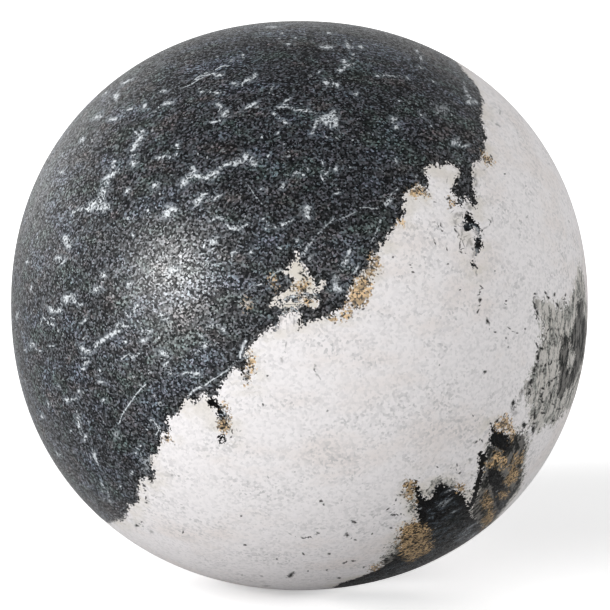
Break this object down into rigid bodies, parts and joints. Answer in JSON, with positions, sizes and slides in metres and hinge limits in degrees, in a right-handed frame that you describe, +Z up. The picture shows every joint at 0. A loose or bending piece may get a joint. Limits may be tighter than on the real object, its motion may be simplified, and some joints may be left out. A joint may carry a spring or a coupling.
{
  "type": "decorative sphere",
  "caption": "Heavy honed stone ball in dark and pale stone, slightly flattened at the crown, with a small ground flat underneath so that it stands still on a shelf or table.",
  "frame": {"origin": "middle of the flat ground on the underside", "axes": "+Z up through the crown, -Y towards the side that the picture shows, +X to the right of that view"},
  "size_m": [0.15, 0.15, 0.1466],
  "materials": {
    "two_tone_stone": "natural stone, honed to a soft satin: near-black blue-green stone with white flecks over one half, grey-white sugary stone with dark specks over the other, tan stains along the contact"
  },
  "bodies": {
    "root": {"stone_ball": "two_tone_stone"}
  },
  "joints": []
}
